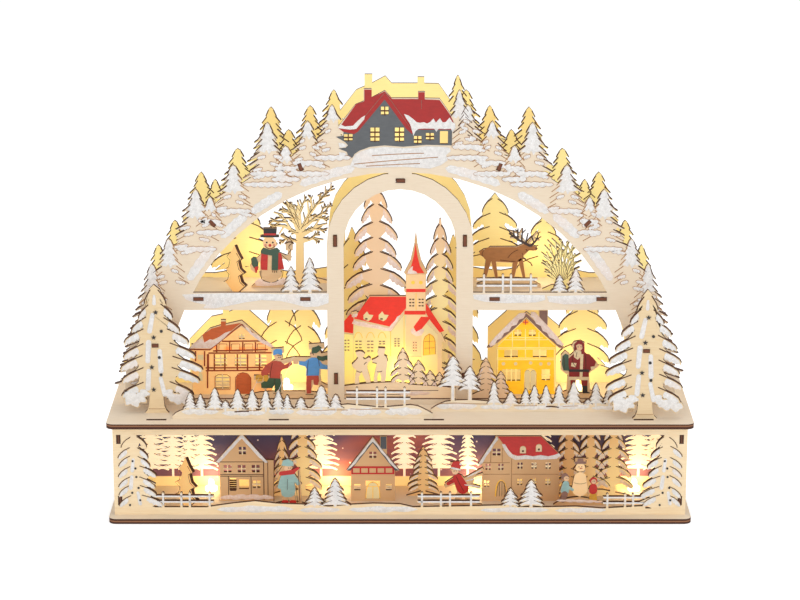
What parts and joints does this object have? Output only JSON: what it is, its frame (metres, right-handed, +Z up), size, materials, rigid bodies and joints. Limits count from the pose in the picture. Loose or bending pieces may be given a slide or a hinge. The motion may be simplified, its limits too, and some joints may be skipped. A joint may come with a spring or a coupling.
{
  "type": "lit wooden candle arch",
  "caption": "Laser-cut plywood candle arch with two tree-crested plates, winter village scenes and shelves, on a box with a lit stage; battery powered.",
  "frame": {"origin": "middle of the underside of the bottom board", "axes": "+X to the viewer's right along the boards, +Y from the front to the back, +Z up"},
  "size_m": [0.45, 0.12, 0.3319],
  "materials": {
    "birch": "sanded, untreated",
    "lit_birch": "sanded, lit from behind",
    "amber_birch": "stained, lit",
    "snow_paint": "thick white paint, glittery",
    "red_paint": "painted, matt",
    "brown_paint": "painted, matt",
    "slate_paint": "painted, matt",
    "dusk_card": "printed card, matt",
    "black_plastic": "matt",
    "steel": "brushed",
    "lamp": "clear warm bulb"
  },
  "bodies": {
    "arch": {"arch_front_plate": "birch", "arch_back_plate": "lit_birch", "arch_spacer_left_upper": "birch", "arch_spacer_right_upper": "birch", "arch_spacer_left_lower": "birch", "arch_spacer_right_lower": "birch", "arch_spacer_crown": "birch", "shelf_left": "birch", "shelf_right": "birch", "inner_wall_left": "birch", "inner_wall_right": "birch", "big_fir_left": "snow_paint", "fir_peg_left": "birch", "big_fir_right": "snow_paint", "fir_peg_right": "birch", "front_hill_left": "snow_paint", "front_hill_right": "snow_paint", "middle_hill": "amber_birch", "grove": "amber_birch", "chalet": "birch", "skaters": "red_paint", "gable_house": "lit_birch", "father_christmas": "red_paint", "church": "lit_birch", "middle_firs": "amber_birch", "arch_lamp_left": "lamp", "arch_lamp_right": "lamp", "snowman": "snow_paint", "bare_tree": "amber_birch", "reindeer": "brown_paint", "bush": "lit_birch", "turned_fir": "amber_birch", "base_front_panel": "birch", "base_left_panel": "birch", "base_right_panel": "birch", "base_back_panel": "birch", "backdrop_card": "dusk_card", "stage_house_left": "birch", "stage_house_middle": "birch", "stage_house_right": "birch", "stage_skier": "slate_paint", "stage_tree_carrier": "red_paint", "stage_snowman_family": "snow_paint", "stage_firs_left": "amber_birch", "stage_fir_middle": "amber_birch", "stage_firs_right": "amber_birch", "stage_turned_fir": "amber_birch", "battery_box": "black_plastic", "battery_cell_1": "steel", "battery_cell_2": "steel", "battery_contact_left": "steel", "battery_contact_right": "steel", "switch_body": "black_plastic", "stage_lamp_left": "lamp", "stage_lamp_middle": "lamp", "stage_lamp_right": "lamp", "top_board": "birch", "bottom_board": "birch"},
    "battery_lid": {"battery_door": "black_plastic"},
    "switch_slider": {"switch_knob": "black_plastic"}
  },
  "joints": [
    {"name": "battery_lid_lift_off", "type": "slide", "parent": "arch", "child": "battery_lid", "axis": [0, 1, 0], "range_m": [0, 0.015]},
    {"name": "switch_slide", "type": "slide", "parent": "arch", "child": "switch_slider", "axis": [1, 0, 0], "range_m": [-0.0046, 0]}
  ]
}
